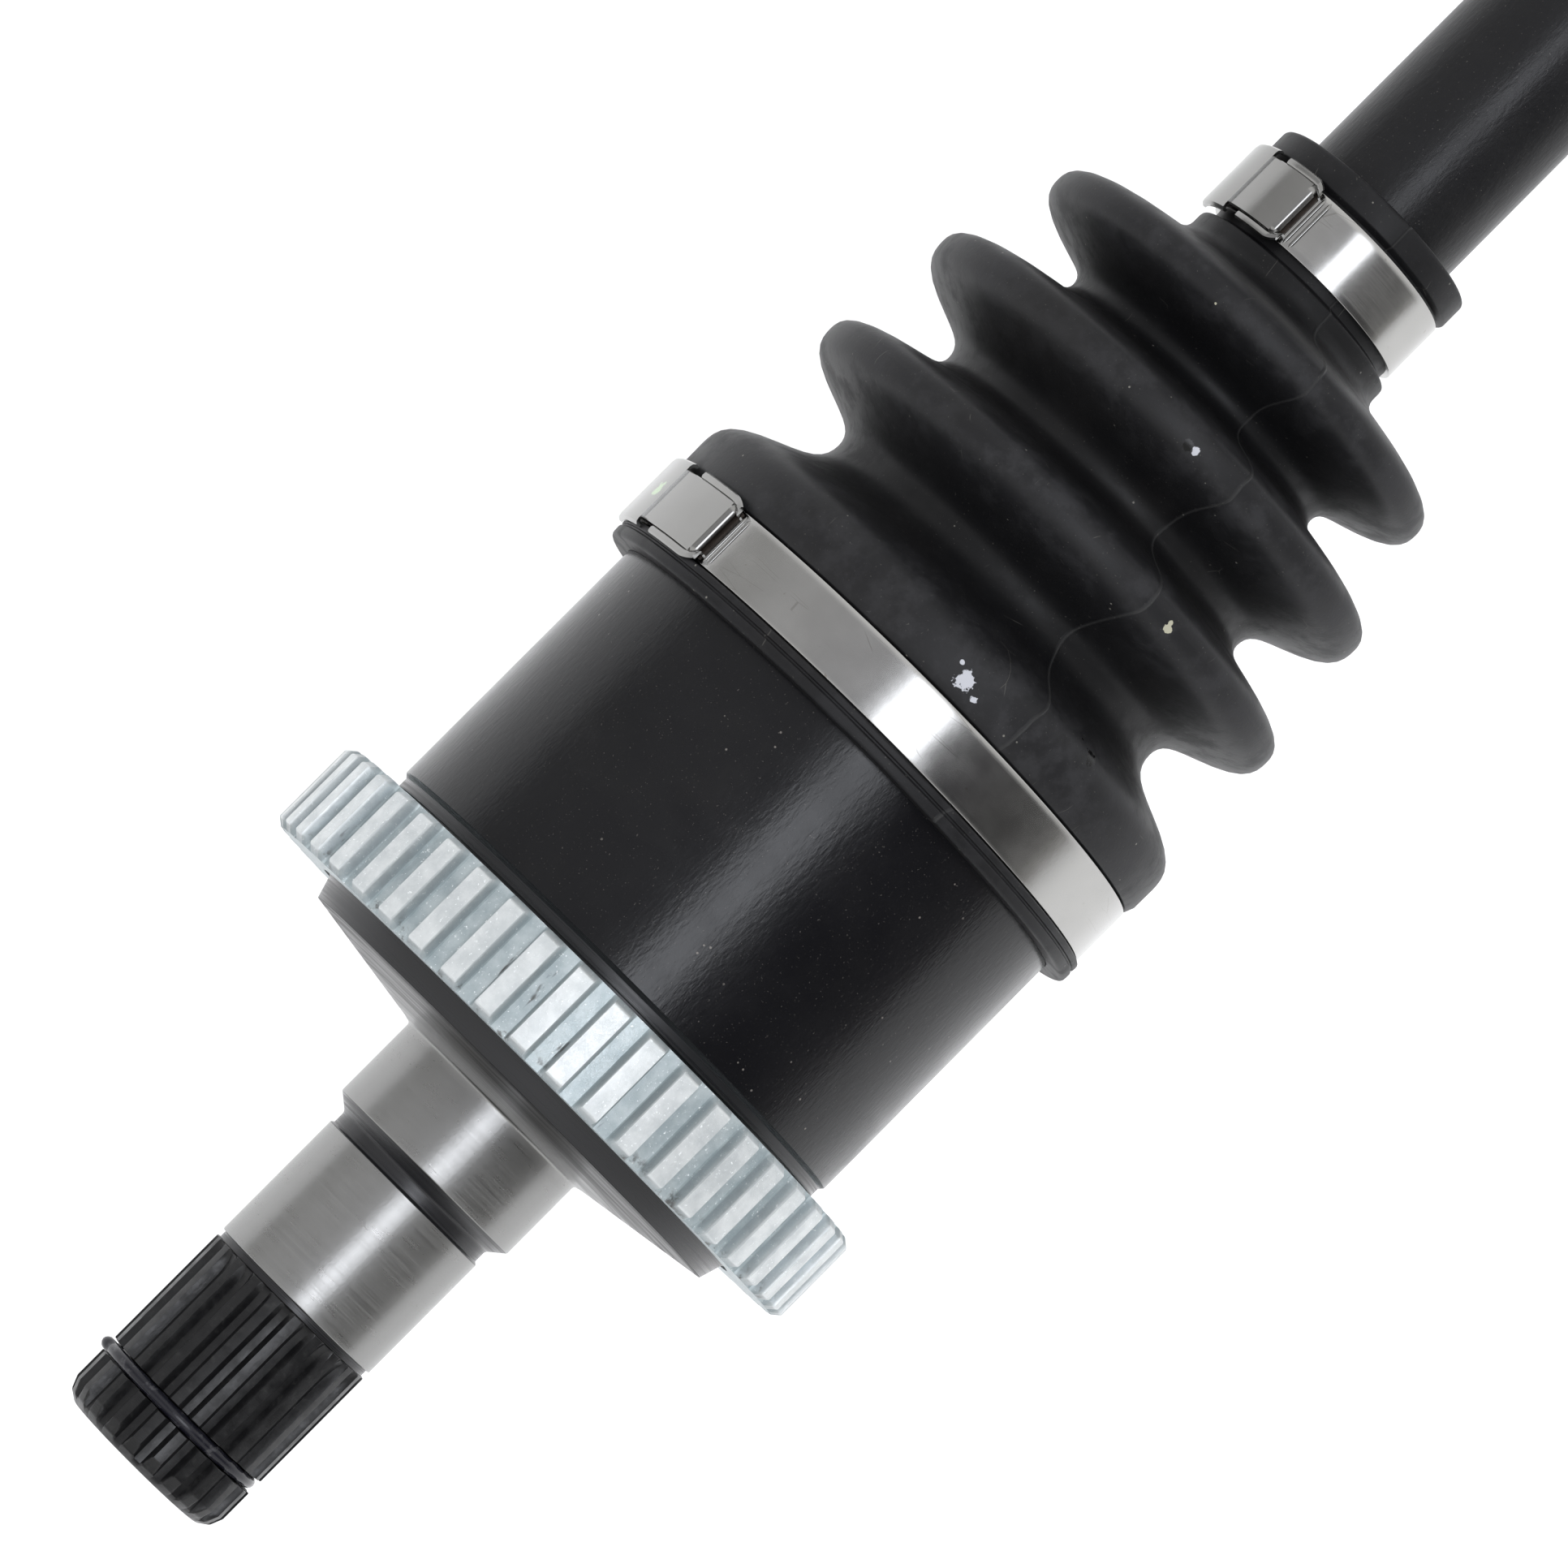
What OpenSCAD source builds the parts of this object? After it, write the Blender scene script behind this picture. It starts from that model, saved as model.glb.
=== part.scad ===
// Front drive axle: plunging tripod joint, solid bar, fixed ball joint, boots and clamps.
// X runs along the axle, outwards. The origin is inside the inner seal journal, on the axle's axis.

/* [Axle] */
// Inner joint centre, from the origin
inner_x = 50; // [40:1:60]
// Distance between the two joint centres
span = 430; // [380:1:520]
// Bar diameter
bar_d = 24; // [20:0.5:28]

/* [Inner stub and housing] */
// Stub spline diameter over the teeth
stub_d = 26.4; // [24:0.1:30]
// Stub spline teeth
stub_teeth = 22; // [18:1:30]
// Seal journal diameter
seal_d = 30; // [28:0.1:36]
// Housing outside diameter
housing_d = 76.2; // [70:0.1:84]

/* [Tone ring] */
// Ring diameter over the teeth
ring_d = 91.4; // [84:0.1:98]
// Ring teeth
ring_teeth = 46; // [40:1:52]
// Tooth depth
ring_depth = 1.8; // [1:0.1:3]
// Ring width
ring_w = 13.7; // [10:0.1:16]

/* [Tripod] */
// Radius from the axle's axis to a roller's centre
tripod_r = 23; // [21:0.5:25]
// Roller outside diameter
roller_d = 32; // [30:0.5:34]
// Roller width
roller_w = 10.5; // [9:0.5:12]
// Trunnion diameter
trunnion_d = 18; // [16:0.5:20]
// Needles round each trunnion
needle_count = 25; // [24:1:26]

/* [Ball joint] */
// Radius from the joint centre to a ball's centre
ball_r = 29.5; // [28:0.5:31]
// Ball diameter
ball_d = 17; // [16:0.5:18]
// Balls
ball_count = 6; // [6:1:6]
// Cage outside diameter
cage_d = 64; // [62:0.5:66]
// Cage thickness
cage_t = 4.5; // [4:0.1:5]
// Bell outside diameter
bell_d = 91.4; // [86:0.2:96]

/* [Outer stub] */
// Outer spline diameter over the teeth
outer_stub_d = 26.8; // [24:0.1:30]
// Outer spline teeth
outer_teeth = 26; // [20:1:32]
// Thread diameter
thread_d = 22; // [18:1:24]

/* [Boots and clamps] */
// Boot wall, measured along the radius
boot_t = 2.6; // [2:0.1:3.5]
// Strap width
strap_w = 8.7; // [7:0.1:11]
// Strap thickness
strap_t = 0.8; // [0.5:0.1:1]

/* [Hidden] */
$fn = 96;
run = 0.1; // radial running clearance of the ball joint's spheres
fit = 0.03; // radial clearance of a seated fit
eps = 0.02; // overlap of unions and cuts
big = 200; // longer than any cut needs
outer_x = inner_x + span;
third = 120;
sixth = 360 / ball_count;
housing_r = housing_d / 2;
bar_r = bar_d / 2;
stub_r = stub_d / 2;
seal_r = seal_d / 2;
ring_r = ring_d / 2;
bell_r = bell_d / 2;
cage_r = cage_d / 2;
spline_depth = 1.1;
spline_root = stub_r - spline_depth;

// Stations along the inner joint, from its centre
stub_end = -108.2;
spline_end = -80.1;
clip_x = -99.8;
clip_wire = 1.8;
clip_groove_r = 11.3;
pilot_x = [-79.1, -59.6];
seal_x = [-55.7, -43.4];
flange_x = [-40.3, -37.3];
flange_r = 35.7;
neck_r = 12.8;
ring_x = flange_x[1];
ring_seat_r = 36.6;
relief_x = -21;
relief_r = 37.6;
mouth_x = 33;
floor_x = -34;
track_side = roller_d / 2 + 0.45;
track_out = 33.8;
core_r = 21;
flare_r = 25;
flare_x = 22;
boot_groove_x = [25, 30];
boot_groove_r = housing_r - 0.9;

// Spider and its rings
hub_r = 15.5;
hub_w = 23;
boss_r = 11.2;
boss_out = tripod_r - roller_w / 2 - 0.35;
trunnion_r = trunnion_d / 2;
trunnion_out = 30.6;
needle_d = 2.48;
needle_ring = trunnion_r + needle_d / 2 + 0.02;
needle_w = roller_w - 1;
roller_bore = needle_ring + needle_d / 2 + fit;
clip_in = 8.2;
clip_out = 12.6;
clip_at = tripod_r + roller_w / 2 + 0.35;
clip_t = 1;
bar_teeth = 28;
bar_spline_r = 11.8;
bar_root_r = 11;
bar_neck_r = 10.9;
bar_start = -16.5;
bar_stop = 17;
snap_in = 10.5;
snap_out = 13.4;
snap_t = 1.6;
snap_at = hub_w / 2 + 0.1;

// Ball joint
race_r = cage_r - cage_t - run;
race_w = 23;
socket_r = cage_r + run;
cage_w = 25;
groove_r = ball_d / 2 + run;
side_play = 0.9;
groove_arc = 40;
bell_mouth = -20;
bell_seat_r = 41.5;
bell_seat_end = -3;
bell_lip_r = 29.2;
bell_lip_x = -13.3;
bell_flare_r = 35.4;
shoulder_x = 44;
shoulder_r = 24;
journal_r = 14.2;
journal_end = 50;
outer_spline_end = 90;
thread_x = [92.5, 112];
thread_r = thread_d / 2;
race_snap_at = race_w / 2 + 0.1;

// Boots: [station, radius] from each joint centre, crests and valleys in turn
inner_folds = [[36.4, 41.15], [48.8, 28.5], [58.8, 40], [67, 26.5], [77.3, 37.8], [85.4, 21.8],
    [93.7, 32.9], [102.4, 16.5]];
outer_folds = [[-31, 44.2], [-39.5, 36], [-47.5, 42.5], [-55, 33], [-62.5, 37.5], [-69.5, 26],
    [-76.5, 31], [-84, 20], [-90, 16.5]];
fold_steps = 6;
boot_x = [20, 119.5];
bead_x = 22.7;
bead_r = 41.2;
seat_r = housing_r + fit + 1.55;
small_seat_r = 15;
strap_x = 22.9;
small_strap_x = 106;
lip_x = [115.7, 119.5];
lip_r = 16.2;
outer_boot_x = [-110, -5];
outer_strap_x = -15.5;
outer_small_x = -105;
outer_seat_r = bell_seat_r + fit + 1.6;
buckle_r = 42;

// Turns what is drawn along Z so that it lies along X: the section's x becomes Y, its y becomes Z
module along_x(x = 0) { translate([x, 0, 0]) rotate([90, 0, 90]) children(); }
// A turned piece from [radius, station] points
module turned(points) { rotate_extrude() polygon(points); }
// A plain ring between two stations
module ring(r_in, r_out, x0, x1) {
  turned([[r_in, x0], [r_out, x0], [r_out, x1], [r_in, x1]]);
}
// A part of a ring, from one angle over an arc
module arc_ring(r_in, r_out, x0, x1, start, arc) {
  rotate([0, 0, start])
    rotate_extrude(angle = arc)
      polygon([[r_in, x0], [r_out, x0], [r_out, x1], [r_in, x1]]);
}
function polar(r, a) = [r * cos(a), r * sin(a)];
// Toothed outline: each tooth has a land and a floor, as shares of its pitch
function teeth(n, r_tip, r_root, land, base) = [
  for (i = [0 : n - 1], k = [0 : 3])
    let (p = 360 / n, side = k < 2 ? -1 : 1, tip = k == 1 || k == 2,
         half = tip ? land / 2 : (1 - base) / 2)
      polar(tip ? r_tip : r_root, p * (i + side * half))
];
// Fold between a crest and a valley: full at the crest, sharp at the valley
function fold(a, b, t) = a[1] > b[1]
  ? b[1] + (a[1] - b[1]) * (1 - pow(sin(90 * t), 3))
  : a[1] + (b[1] - a[1]) * (1 - pow(cos(90 * t), 3));
function folds(list, down) = [
  for (i = [0 : len(list) - 2], k = [0 : fold_steps - 1])
    let (t = k / fold_steps)
      [fold(list[i], list[i + 1], t) - down, list[i][0] + (list[i + 1][0] - list[i][0]) * t]
];
function backwards(list) = [for (i = [len(list) - 1 : -1 : 0]) list[i]];
// Turns a child so that its Z axis points along trunnion or ball number k
module spoke(k, step) { rotate([0, 0, k * step]) rotate([0, 90, 0]) children(); }

// Round housing with its stub, three roller tracks and splines
module inner_housing() {
  color([0.09, 0.09, 0.1])
    along_x(inner_x)
      difference() {
        union() {
          stub_spline();
          housing_blank();
        }
        circlip_groove();
        tulip_cavity();
      }
}
module stub_spline() {
  intersection() {
    translate([0, 0, stub_end])
      linear_extrude(height = spline_end - stub_end)
        polygon(teeth(stub_teeth, stub_r, spline_root, 0.36, 0.3));
    turned([[0, stub_end - 1], [stub_r - 1.7, stub_end - 1], [stub_r - 0.7, stub_end],
        [stub_r + 1, stub_end + 1.7], [stub_r + 1, spline_end + 1], [0, spline_end + 1]]);
  }
}
module housing_blank() {
  turned([[0, stub_end], [spline_root - 0.8, stub_end], [spline_root, stub_end + 0.8],
      [spline_root, spline_end - 4], [stub_r - 0.4, spline_end], [stub_r - 0.4, pilot_x[0]],
      [stub_r, pilot_x[0]], [stub_r, pilot_x[1]], [neck_r, pilot_x[1]], [neck_r, seal_x[0] - 1.8],
      [seal_r, seal_x[0]], [seal_r, seal_x[1]], [seal_r + 0.75, seal_x[1] + 0.3],
      [flange_r - 0.3, flange_x[0]], [flange_r, flange_x[0] + 0.4], [flange_r, flange_x[1]],
      [ring_seat_r, flange_x[1] + 0.5], [ring_seat_r, ring_x + ring_w + 0.6],
      [relief_r, ring_x + ring_w + 0.6], [relief_r, relief_x - 0.4], [housing_r, relief_x],
      [housing_r, boot_groove_x[0]], [boot_groove_r, boot_groove_x[0] + 0.8],
      [boot_groove_r, boot_groove_x[1] - 0.8], [housing_r, boot_groove_x[1]],
      [housing_r, mouth_x - 1], [housing_r - 1, mouth_x], [0, mouth_x]]);
}
module circlip_groove() {
  ring(clip_groove_r, stub_r + 2, clip_x - 1.05, clip_x + 1.05);
}
module tulip_cavity() {
  translate([0, 0, floor_x])
    linear_extrude(height = mouth_x - floor_x + 1)
      union() {
        circle(core_r);
        intersection() {
          circle(track_out);
          union()
            for (k = [0 : 2])
              rotate(k * third)
                translate([0, -track_side])
                  square([track_out + 1, 2 * track_side]);
        }
      }
  turned([[0, flare_x], [core_r, flare_x], [flare_r, mouth_x], [flare_r + 0.3, mouth_x + 1],
      [0, mouth_x + 1]]);
}

// Toothed sensor ring pressed on the housing
module tone_ring() {
  color([0.66, 0.69, 0.72])
    along_x(inner_x)
      difference() {
        intersection() {
          translate([0, 0, ring_x])
            linear_extrude(height = ring_w)
              polygon(teeth(ring_teeth, ring_r, ring_r - ring_depth, 0.42, 0.36));
          turned([[0, ring_x], [ring_r - 0.7, ring_x], [ring_r, ring_x + 0.7],
              [ring_r, ring_x + ring_w - 0.7], [ring_r - 0.7, ring_x + ring_w], [0, ring_x + ring_w]]);
        }
        translate([0, 0, ring_x - 1])
          cylinder(r = ring_seat_r + fit, h = ring_w + 2);
      }
}

// Round-wire circlip that holds the stub in the differential
module stub_circlip() {
  color([0.12, 0.12, 0.13])
    along_x(inner_x + clip_x)
      translate([0.45, 0, 0])
        rotate([0, 0, 14])
          rotate_extrude(angle = 332)
            translate([12.85, 0])
              circle(clip_wire / 2);
}

// Three-armed spider on the bar's spline
module spider() {
  color([0.5, 0.51, 0.53])
    along_x(inner_x)
      difference() {
        union() {
          ring(0, hub_r, -hub_w / 2, hub_w / 2);
          for (k = [0 : 2])
            spoke(k, third)
              trunnion();
        }
        bar_bore(hub_w);
      }
}
module trunnion() {
  turned([[0, 2], [boss_r, 2], [boss_r, boss_out], [trunnion_r, boss_out], [trunnion_r, clip_at],
      [clip_in, clip_at], [clip_in, clip_at + clip_t + 0.1], [trunnion_r, clip_at + clip_t + 0.1],
      [trunnion_r, trunnion_out - 0.6], [trunnion_r - 0.6, trunnion_out], [0, trunnion_out]]);
}
module bar_bore(w) {
  translate([0, 0, -w / 2 - 1])
    linear_extrude(height = w + 2)
      polygon(teeth(bar_teeth, bar_spline_r + fit, bar_root_r + fit, 0.44, 0.34));
}

// Crowned rollers, one on each arm
module roller(k) {
  color([0.72, 0.73, 0.75])
    along_x(inner_x)
      spoke(k, third)
        translate([0, 0, tripod_r])
          difference() {
            intersection() {
              sphere(roller_d / 2);
              cylinder(r = roller_d, h = roller_w, center = true);
            }
            cylinder(r = roller_bore, h = roller_w + 2, center = true);
          }
}
module roller_1() { roller(0); }
module roller_2() { roller(1); }
module roller_3() { roller(2); }

// Needles between each arm and its roller
module needles(k) {
  color([0.8, 0.8, 0.82])
    along_x(inner_x)
      spoke(k, third)
        translate([0, 0, tripod_r])
          for (i = [0 : needle_count - 1])
            rotate([0, 0, i * 360 / needle_count])
              translate([needle_ring, 0, 0])
                cylinder(r = needle_d / 2, h = needle_w, center = true);
}
module needles_1() { needles(0); }
module needles_2() { needles(1); }
module needles_3() { needles(2); }

// Open rings that keep the rollers on the arms
module roller_clips() {
  color([0.35, 0.35, 0.37])
    along_x(inner_x)
      for (k = [0 : 2])
        spoke(k, third)
          arc_ring(clip_in + fit, clip_out, clip_at + 0.05, clip_at + 0.05 + clip_t, 20, 320);
}

// Open rings that hold the spider on the bar, one on each side
module spider_snap_rings() {
  color([0.35, 0.35, 0.37])
    along_x(inner_x)
      for (x = [-snap_at - snap_t, snap_at])
        arc_ring(snap_in + fit, snap_out, x, x + snap_t, 20, 320);
}

// Solid bar with a spline, grooves and a neck at each end
module axle_bar() {
  color([0.08, 0.08, 0.09])
    along_x(inner_x)
      union() {
        difference() {
          union() {
            bar_spline(bar_start, bar_stop);
            bar_spline(span - bar_stop, span - bar_start);
          }
          snap_groove(-snap_at - snap_t);
          snap_groove(snap_at);
          snap_groove(span - race_snap_at - snap_t);
          snap_groove(span + race_snap_at);
        }
        turned(concat([[0, bar_stop - 1], [bar_neck_r, bar_stop - 1], [bar_neck_r, 27], [bar_r, 33]],
            bar_groove(small_strap_x + 1.4, small_strap_x + 6.4),
            bar_groove(span + outer_small_x + 2.4, span + outer_small_x + 7.4),
            [[bar_r, span - 33], [bar_neck_r, span - 27], [bar_neck_r, span - bar_stop + 1],
             [0, span - bar_stop + 1]]));
      }
}
function bar_groove(a, b) = [[bar_r, a], [bar_r - 0.8, a + 0.8], [bar_r - 0.8, b - 0.8], [bar_r, b]];
module bar_spline(a, b) {
  intersection() {
    translate([0, 0, a])
      linear_extrude(height = b - a)
        polygon(teeth(bar_teeth, bar_spline_r, bar_root_r, 0.4, 0.38));
    turned([[0, a], [bar_root_r - 0.6, a], [bar_spline_r, a + 1.4], [bar_spline_r, b - 1.4],
        [bar_root_r - 0.6, b], [0, b]]);
  }
}
module snap_groove(x) { ring(snap_in, bar_r + 1, x - 0.05, x + snap_t + 0.05); }

// Pleated boot, open at both ends
module boot(list, big_end, small_end, d) {
  outside = concat(big_end[0], folds(list, 0), small_end[0]);
  inside = concat(big_end[1], folds(list, boot_t), small_end[1]);
  turned(concat(outside, backwards(inside)));
}
module inner_boot() {
  grip_r = housing_r + fit;
  hole_r = bar_r + fit;
  color([0.13, 0.13, 0.13])
    along_x(inner_x)
      boot(inner_folds,
          [[[grip_r + 1, boot_x[0] - 0.3], [bead_r - 0.6, boot_x[0] - 0.3], [bead_r, boot_x[0] + 0.5],
            [bead_r, bead_x - 0.6], [bead_r - 0.4, bead_x], [seat_r, bead_x],
            [seat_r, strap_x + strap_w + 0.1], [bead_r - 0.7, strap_x + strap_w + 0.2],
            [bead_r - 0.1, 33.6]],
           [[grip_r, boot_x[0]], [grip_r, mouth_x + 0.3], [grip_r - 1.4, mouth_x + 0.4]]],
          [[[16.5, 104], [small_seat_r, 104.5], [small_seat_r, lip_x[0] - 0.6], [lip_r, lip_x[0]],
            [lip_r, lip_x[1] - 0.6], [lip_r - 0.6, lip_x[1]]],
           [[hole_r, 104.2], [hole_r, lip_x[1]]]]);
}
module outer_boot() {
  grip_r = bell_seat_r + fit;
  hole_r = bar_r + fit;
  color([0.13, 0.13, 0.13])
    along_x(outer_x)
      boot(outer_folds,
          [[[grip_r + 1, outer_boot_x[1]], [outer_seat_r + 1, outer_boot_x[1]],
            [outer_seat_r + 1, outer_boot_x[1] - 1.6], [outer_seat_r, outer_boot_x[1] - 1.6],
            [outer_seat_r, outer_strap_x - 0.1], [outer_seat_r + 1, outer_strap_x - 0.2]],
           [[grip_r, outer_boot_x[1]], [grip_r, bell_mouth - 0.3], [grip_r - 1.5, bell_mouth - 0.4]]],
          [[[small_seat_r, -92.5], [small_seat_r, outer_small_x - 0.7], [lip_r, outer_small_x - 1.2],
            [lip_r, outer_boot_x[0] + 0.6], [lip_r - 0.6, outer_boot_x[0]]],
           [[hole_r, -92.8], [hole_r, outer_boot_x[0]]]]);
}

// Strap round a boot end, and the buckle folded over it
module strap(x, r) { ring(r, r + strap_t, x, x + strap_w); }
module buckle(x, r, arc) {
  side = 1;
  t = strap_t;
  base = r + strap_t + 0.01;
  px = 180 / (PI * base);
  // layer that lies on the strap under everything else
  arc_ring(base, base + 0.4, x + 0.3, x + strap_w - 0.3, 0, arc);
  // folded tail with its rolled edge
  arc_ring(base, base + t, x + 0.3, x + strap_w - 0.3, 0, arc * 0.62);
  arc_ring(base + t - 0.01, base + t + 0.45, x + 0.3, x + strap_w - 0.3, 0, 2.2 * px);
  // bridge, wider than the strap, that holds the tail down
  arc_ring(base + t - 0.01, base + t + 0.5, x - side, x + strap_w + side, arc * 0.34, 5.5 * px);
  // two stops pressed up ahead of the tail
  for (k = [0 : 1])
    arc_ring(base, base + 0.8, x + 1.6, x + strap_w - 1.6, arc * 0.78 + k * 3.6 * px, 1.5 * px);
}
module steel() { color([0.78, 0.79, 0.8]) children(); }
module large_clamp_band() { steel() along_x(inner_x) strap(strap_x, seat_r + fit); }
module large_clamp_buckle() { steel() along_x(inner_x) buckle(strap_x, seat_r + fit, 42); }
module small_clamp_band() { steel() along_x(inner_x) strap(small_strap_x, small_seat_r + fit); }
module small_clamp_buckle() { steel() along_x(inner_x) buckle(small_strap_x, small_seat_r + fit, 64); }
module outer_large_clamp_band() { steel() along_x(outer_x) strap(outer_strap_x, outer_seat_r + fit); }
module outer_large_clamp_buckle() { steel() along_x(outer_x) buckle(outer_strap_x, outer_seat_r + fit, 42); }
module outer_small_clamp_band() { steel() along_x(outer_x) strap(outer_small_x, small_seat_r + fit); }
module outer_small_clamp_buckle() { steel() along_x(outer_x) buckle(outer_small_x, small_seat_r + fit, 64); }

// Grooves that the balls run in, centred on the joint
module ball_grooves(arc) {
  for (k = [0 : ball_count - 1])
    rotate([0, 0, k * sixth])
      rotate([90, 0, 0])
        rotate([0, 0, -arc])
          rotate_extrude(angle = 2 * arc)
            translate([ball_r, 0])
              union() {
                translate([0, -side_play]) circle(groove_r);
                translate([0, side_play]) circle(groove_r);
                translate([-groove_r, -side_play]) square([2 * groove_r, 2 * side_play]);
              }
}

// Inner race on the bar's outer spline
module inner_race() {
  color([0.6, 0.61, 0.63])
    along_x(outer_x)
      difference() {
        intersection() {
          sphere(race_r);
          cylinder(r = cage_r, h = race_w, center = true);
        }
        ball_grooves(50);
        bar_bore(race_w);
      }
}
module race_snap_rings() {
  color([0.35, 0.35, 0.37])
    along_x(outer_x)
      for (x = [-race_snap_at - snap_t, race_snap_at])
        arc_ring(snap_in + fit, snap_out, x, x + snap_t, 20, 320);
}

// Cage with a window for each ball
module cage() {
  color([0.55, 0.56, 0.58])
    along_x(outer_x)
      difference() {
        intersection() {
          sphere(cage_r);
          cylinder(r = cage_r + 1, h = cage_w, center = true);
        }
        sphere(cage_r - cage_t);
        for (k = [0 : ball_count - 1])
          spoke(k, sixth)
            linear_extrude(height = cage_r + 2)
              window();
      }
}
module window() {
  w = ball_d / 2 + fit;
  l = ball_d / 2 + side_play;
  c = 3;
  union() {
    translate([-w, -l + c]) square([2 * w, 2 * l - 2 * c]);
    translate([-w + c, -l]) square([2 * w - 2 * c, 2 * l]);
    for (i = [-1, 1], j = [-1, 1])
      translate([i * (w - c), j * (l - c)]) circle(c);
  }
}

// Balls, numbered round the joint
module ball(k) {
  color([0.82, 0.83, 0.85])
    along_x(outer_x)
      spoke(k, sixth)
        translate([0, 0, ball_r])
          sphere(ball_d / 2);
}
module ball_1() { ball(0); }
module ball_2() { ball(1); }
module ball_3() { ball(2); }
module ball_4() { ball(3); }
module ball_5() { ball(4); }
module ball_6() { ball(5); }

// Bell with its splined and threaded stub
module outer_bell() {
  color([0.09, 0.09, 0.1])
    along_x(outer_x)
      difference() {
        union() {
          bell_blank();
          outer_spline();
        }
        sphere(socket_r);
        ball_grooves(groove_arc);
        turned([[0, bell_mouth - 1], [bell_flare_r + 1, bell_mouth - 1], [bell_flare_r, bell_mouth],
            [bell_lip_r, bell_lip_x], [0, bell_lip_x]]);
      }
}
module bell_blank() {
  root = outer_stub_d / 2 - 1;
  turned([[0, bell_mouth], [bell_seat_r - 0.6, bell_mouth], [bell_seat_r, bell_mouth + 0.6],
      [bell_seat_r, -14], [bell_seat_r - 0.7, -13.3], [bell_seat_r - 0.7, -9.7], [bell_seat_r, -9],
      [bell_seat_r, bell_seat_end], [bell_r - 1, bell_seat_end], [bell_r, bell_seat_end + 1],
      [bell_r, 14], [bell_r - 1, 17], [38, 29], [30, 36], [shoulder_r, 38.5],
      [shoulder_r, shoulder_x - 1], [shoulder_r - 1, shoulder_x], [journal_r + 0.6, shoulder_x],
      [journal_r, shoulder_x + 0.6], [journal_r, journal_end], [root, journal_end + 1.2],
      [root, outer_spline_end], [thread_r - 1, outer_spline_end], [thread_r - 1, thread_x[0] - 0.8],
      [thread_r, thread_x[0] + 0.2], [thread_r, thread_x[1] - 1.5], [thread_r - 1.5, thread_x[1]],
      [0, thread_x[1]]]);
}
module outer_spline() {
  r = outer_stub_d / 2;
  intersection() {
    translate([0, 0, journal_end - 1])
      linear_extrude(height = outer_spline_end - journal_end + 1)
        polygon(teeth(outer_teeth, r, r - 1, 0.36, 0.3));
    turned([[0, journal_end - 1], [r + 1, journal_end - 1], [r + 1, outer_spline_end - 2],
        [r - 1, outer_spline_end], [0, outer_spline_end]]);
  }
}

inner_housing();
tone_ring();
stub_circlip();
spider();
roller_1();
roller_2();
roller_3();
needles_1();
needles_2();
needles_3();
roller_clips();
spider_snap_rings();
axle_bar();
inner_boot();
large_clamp_band();
large_clamp_buckle();
small_clamp_band();
small_clamp_buckle();
outer_boot();
outer_large_clamp_band();
outer_large_clamp_buckle();
outer_small_clamp_band();
outer_small_clamp_buckle();
inner_race();
race_snap_rings();
cage();
ball_1();
ball_2();
ball_3();
ball_4();
ball_5();
ball_6();
outer_bell();
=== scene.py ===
import math
import bmesh
import bpy
import numpy as np
from mathutils import Matrix, Vector


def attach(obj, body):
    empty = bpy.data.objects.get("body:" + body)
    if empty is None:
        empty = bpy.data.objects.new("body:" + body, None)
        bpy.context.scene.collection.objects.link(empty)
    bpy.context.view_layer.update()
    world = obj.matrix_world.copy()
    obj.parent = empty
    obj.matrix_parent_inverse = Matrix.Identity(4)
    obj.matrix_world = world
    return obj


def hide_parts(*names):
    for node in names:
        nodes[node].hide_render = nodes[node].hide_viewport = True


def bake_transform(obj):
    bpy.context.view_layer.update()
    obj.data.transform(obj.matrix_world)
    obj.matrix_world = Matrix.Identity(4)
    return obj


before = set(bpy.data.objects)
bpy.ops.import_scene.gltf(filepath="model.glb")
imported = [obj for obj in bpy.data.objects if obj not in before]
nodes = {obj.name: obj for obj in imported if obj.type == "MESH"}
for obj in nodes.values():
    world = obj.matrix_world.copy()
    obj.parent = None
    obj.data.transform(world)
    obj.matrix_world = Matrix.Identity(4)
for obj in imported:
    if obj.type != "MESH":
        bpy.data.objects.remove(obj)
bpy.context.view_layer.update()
MM = 0.001
INNER, OUTER = 50.0, 480.0  # the two joint centres along X, mm
TAU = 2 * math.pi


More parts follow.
